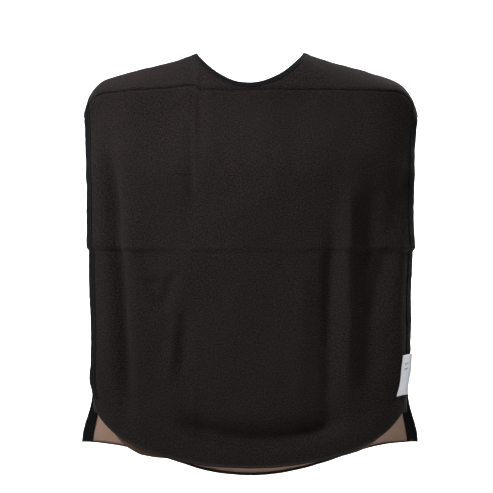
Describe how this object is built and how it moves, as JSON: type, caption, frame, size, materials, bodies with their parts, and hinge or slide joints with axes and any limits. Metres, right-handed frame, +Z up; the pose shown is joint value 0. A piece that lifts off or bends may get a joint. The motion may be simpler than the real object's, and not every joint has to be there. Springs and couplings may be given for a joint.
{
  "type": "lead apron",
  "caption": "Poncho-style dental lead apron: shoulder yoke with neck opening, hinged front and back panels of layered lead vinyl, bound edges and side straps.",
  "frame": {"origin": "middle of the neck opening, at the height of the shoulders beside the neck", "axes": "+Z up along the wearer, -Y out of the front panel, +X to the right of a person who looks at the front"},
  "size_m": [0.606, 0.2166, 0.7505],
  "materials": {
    "outer_fabric": "brushed, matte",
    "lead_vinyl": "smooth, matte",
    "lining_vinyl": "fine leather-like grain, satin",
    "binding_tape": "ribbed tape, matte",
    "thread": "twisted polyester",
    "webbing": "woven webbing, matte",
    "hook_and_loop": "fuzzy, matte",
    "label_satin": "woven satin"
  },
  "bodies": {
    "yoke": {"yoke_outer_fabric": "outer_fabric", "yoke_lead_sheet_outer": "lead_vinyl", "yoke_lead_sheet_inner": "lead_vinyl", "yoke_lining": "lining_vinyl", "neckline_binding": "binding_tape", "yoke_left_binding": "binding_tape", "yoke_right_binding": "binding_tape", "front_seam_thread": "thread", "back_seam_thread": "thread"},
    "front_panel": {"front_outer_fabric": "outer_fabric", "front_lead_sheet_outer": "lead_vinyl", "front_lead_sheet_inner": "lead_vinyl", "front_lining": "lining_vinyl", "front_hem_facing": "outer_fabric", "front_left_binding": "binding_tape", "front_right_binding": "binding_tape", "front_left_loop_patch": "hook_and_loop", "front_right_loop_patch": "hook_and_loop"},
    "back_panel": {"back_outer_fabric": "outer_fabric", "back_lead_sheet_outer": "lead_vinyl", "back_lead_sheet_inner": "lead_vinyl", "back_lining": "lining_vinyl", "back_hem_facing": "outer_fabric", "back_left_binding": "binding_tape", "back_right_binding": "binding_tape", "back_left_anchor_patch": "webbing", "back_right_anchor_patch": "webbing"},
    "left_strap": {"left_strap_hook_patch": "hook_and_loop", "left_side_strap": "webbing"},
    "right_strap": {"right_strap_hook_patch": "hook_and_loop", "right_side_strap": "webbing"},
    "label": {"side_label": "label_satin"}
  },
  "joints": [
    {"name": "front_swing", "type": "hinge", "parent": "yoke", "child": "front_panel", "pos_m": [0, -0.0722, -0.0692], "axis": [-1, 0, 0], "range_deg": [0, 75]},
    {"name": "back_swing", "type": "hinge", "parent": "yoke", "child": "back_panel", "pos_m": [0, 0.077, -0.0695], "axis": [1, 0, 0], "range_deg": [0, 75]},
    {"name": "left_strap_swing", "type": "hinge", "parent": "back_panel", "child": "left_strap", "pos_m": [-0.247, 0.0886, -0.602], "axis": [0, 0, 1], "range_deg": [0, 70]},
    {"name": "right_strap_swing", "type": "hinge", "parent": "back_panel", "child": "right_strap", "pos_m": [0.247, 0.0886, -0.602], "axis": [0, 0, -1], "range_deg": [0, 70]},
    {"name": "label_flip", "type": "hinge", "parent": "front_panel", "child": "label", "pos_m": [0.2707, -0.0535, -0.553], "axis": [0, 0, 1], "range_deg": [0, 120]}
  ]
}
